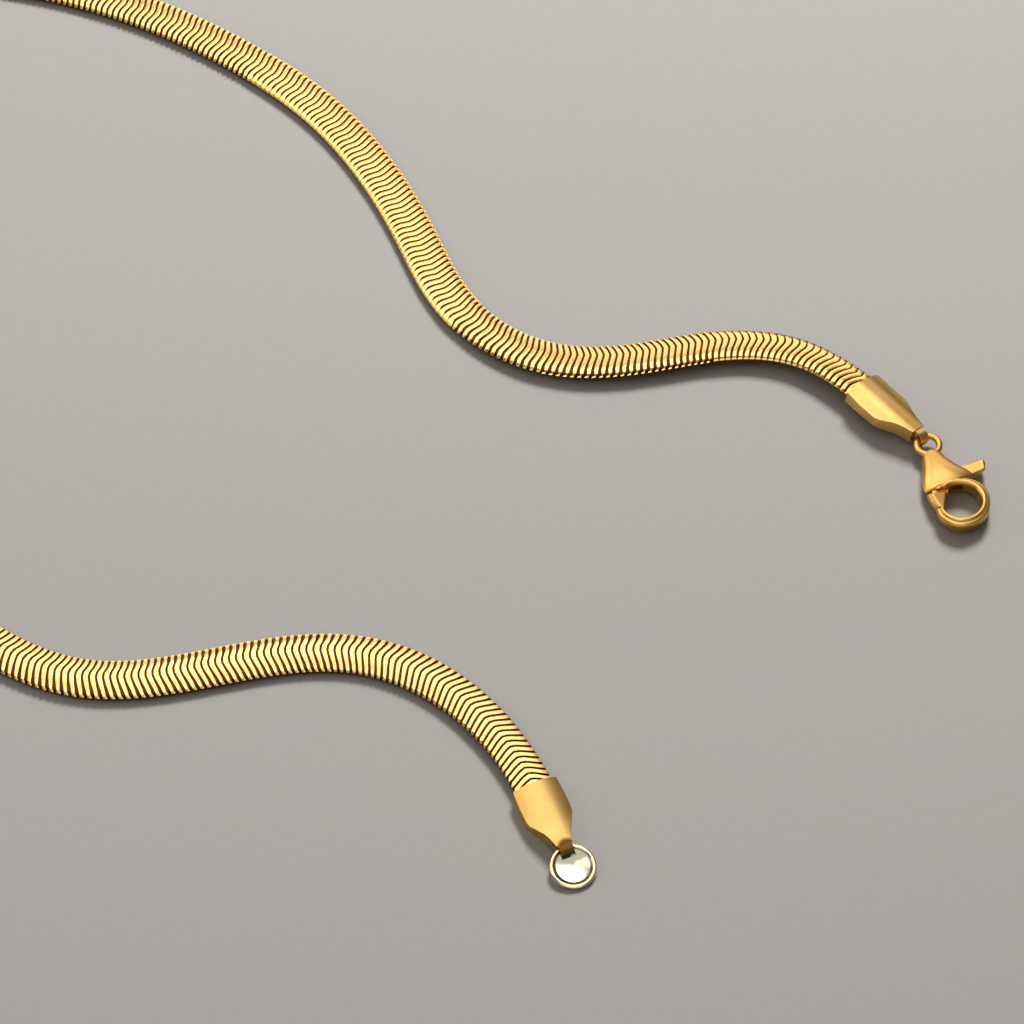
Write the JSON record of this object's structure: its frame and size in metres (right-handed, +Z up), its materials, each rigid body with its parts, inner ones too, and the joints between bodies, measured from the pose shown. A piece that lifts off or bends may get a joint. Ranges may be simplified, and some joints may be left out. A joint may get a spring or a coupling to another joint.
{
  "type": "flat snake chain necklace",
  "caption": "Flat gold-coloured snake chain necklace lying open, with crimped end caps, a lobster clasp with a sprung lever, and an end ring that carries a round polished tag.",
  "frame": {"origin": "middle of the necklace's box as it lies, on the surface under it", "axes": "+X towards the clasp, +Y from the open ends' near side to the far side, +Z up"},
  "size_m": [0.203, 0.137, 0.0028],
  "materials": {
    "chain_gold": "gold-plated links, bright, with dark gaps between them",
    "cap_gold": "gold-plated, satin along its length",
    "clasp_gold": "gold-plated, softly polished",
    "ring_gold": "gold-plated wire, polished",
    "tag_white": "polished white metal"
  },
  "bodies": {
    "necklace": {"chain": "chain_gold", "clasp_cap": "cap_gold", "ring_cap": "cap_gold", "clasp_body": "clasp_gold", "clasp_pin": "clasp_gold", "end_ring": "ring_gold", "tag_disc": "tag_white"},
    "lever": {"clasp_lever": "clasp_gold"}
  },
  "joints": [
    {"name": "lever_pivot", "type": "hinge", "parent": "necklace", "child": "lever", "pos_m": [0.09682, -0.01385, 0.00112], "axis": [0, 0, 1], "range_deg": [0, 25], "stiffness_Nm_per_rad": 0.001}
  ]
}
